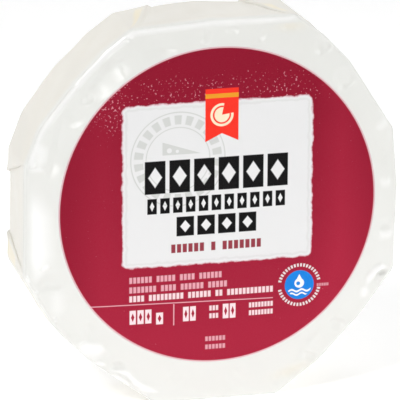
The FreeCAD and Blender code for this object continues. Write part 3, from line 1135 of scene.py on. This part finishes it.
def placeCamera():
    azimuth, elevation = math.radians(shot["azimuth"]), math.radians(shot["elevation"])
    back = Vector((math.sin(azimuth) * math.cos(elevation),
                   -math.cos(azimuth) * math.cos(elevation), math.sin(elevation)))
    right = Vector((math.cos(azimuth), math.sin(azimuth), 0))
    up = back.cross(right)
    roll = math.radians(shot["roll"])
    tilted = right * math.cos(roll) + up * math.sin(roll)
    upright = up * math.cos(roll) - right * math.sin(roll)
    middle = toFrame(printMiddle[0], 0.0, printMiddle[1])
    aim = Vector(middle) + Vector((shot["aimAcross"], 0, shot["aimUp"])) * mm
    data = bpy.data.cameras.new("camera")
    data.lens = shot["lens"]
    data.sensor_width = 36
    data.clip_end = 20
    camera = bpy.data.objects.new("camera", data)
    bpy.context.scene.collection.objects.link(camera)
    matrix = camera.matrix_world.copy()
    for column, way in enumerate((tilted, upright, back)):
        for row in range(3):
            matrix[row][column] = way[row]
    matrix.translation = aim + back * shot["distance"] * mm
    camera.matrix_world = matrix
    bpy.context.scene.camera = camera


placeCamera()
print("the camera is placed")


lamps = {
    "key": {"place": (-0.62, -0.55, 0.85), "size": (0.28, 0.28), "power": 6.0},
    "fill": {"place": (0.8, -0.7, 0.35), "size": (0.8, 0.8), "power": 4.6},
    "glint": {"place": (0.0, -1.1, 0.14), "size": (0.20, 0.16), "power": 1.1},
    "over": {"place": (0, 0.1, 1.0), "size": (1.0, 1.0), "power": 4.0},
}


def addLight(name, place, size, power):
    data = bpy.data.lights.new(name, "AREA")
    data.shape = "RECTANGLE"
    data.size, data.size_y = size
    data.energy = power
    lamp = bpy.data.objects.new(name, data)
    lamp.location = place
    aim = Vector((0, 0, 0.054))
    lamp.rotation_euler = (aim - Vector(place)).to_track_quat("-Z", "Y").to_euler()
    lamp.visible_camera = False
    bpy.context.scene.collection.objects.link(lamp)


for name, lamp in lamps.items():
    addLight(name, **lamp)

world = bpy.data.worlds.new("studio")
bpy.context.scene.world = world
world.use_nodes = True
world.node_tree.nodes["Background"].inputs[0].default_value = (1, 1, 1, 1)
world.node_tree.nodes["Background"].inputs[1].default_value = 0.03
bpy.context.scene.view_settings.view_transform = "Standard"
print(len(lamps), "lights and the sky are in place")

# How strongly the floor glows all round and at the back, its paint, and how far in front of
# the wheel it starts to darken and over what distance.
stage = {"glow": 0.333, "backGlow": 0.37, "paint": 0.93, "darker": 0.6, "frontStart": 0.06,
         "frontFade": 0.4}


def makeFloor():
    # a white floor that turns up into a backdrop far off all round, and is darker in front of
    # the wheel, so that little light reaches the face from below
    reaches = (0.12, 0.25, 0.4, 0.6, 0.9, 1.3, 2.0, 3.0, 4.5, 6.0)
    turnUp, height, turns = 2.5, 6.0, 96
    profile = [(reach, 0.0) for reach in reaches]
    for step in range(1, 13):
        angle = math.pi / 2 * step / 12
        profile.append((reaches[-1] + turnUp * math.sin(angle), turnUp * (1 - math.cos(angle))))
    profile.append((reaches[-1] + turnUp, height))
    verts, faces = [(0, 0, lowCorner.z)], []
    for reach, up in profile:
        for step in range(turns):
            angle = 2 * math.pi * step / turns
            verts.append((reach * math.cos(angle), reach * math.sin(angle), lowCorner.z + up))
    for step in range(turns):
        beside = (step + 1) % turns
        faces.append((0, 1 + step, 1 + beside))
        for ring in range(len(profile) - 1):
            first = 1 + ring * turns
            faces.append((first + step, first + turns + step, first + turns + beside, first + beside))
    mesh = bpy.data.meshes.new("floor")
    mesh.from_pydata(verts, [], faces)
    mesh.polygons.foreach_set("use_smooth", [True] * len(mesh.polygons))
    deep = np.array(verts)[:, 1]
    front = smooth((-deep - stage["frontStart"]) / stage["frontFade"])
    glow = stage["glow"] * (1 - front) + stage["backGlow"] * smooth((deep - 0.5) / 2.0)
    paint = stage["paint"] - stage["darker"] * front
    for name, values in (("glow", glow), ("paint", paint)):
        layer = mesh.attributes.new(name, "FLOAT", "POINT")
        layer.data.foreach_set("value", values.astype(np.float32))
    floor = bpy.data.objects.new("floor", mesh)
    bpy.context.scene.collection.objects.link(floor)
    finish = Finish("floor")
    glowing = finish.node("ShaderNodeAttribute", {"attribute_name": "glow"})
    painted = finish.node("ShaderNodeAttribute", {"attribute_name": "paint"})
    surface = finish.node("ShaderNodeBsdfPrincipled", {}, {
        "Base Color": painted, "Roughness": 0.85,
        "Emission Color": glowing, "Emission Strength": 1.0})
    finish.node("ShaderNodeOutputMaterial", {}, {"Surface": surface})
    mesh.materials.append(finish.material)


makeFloor()
print("the floor is laid")
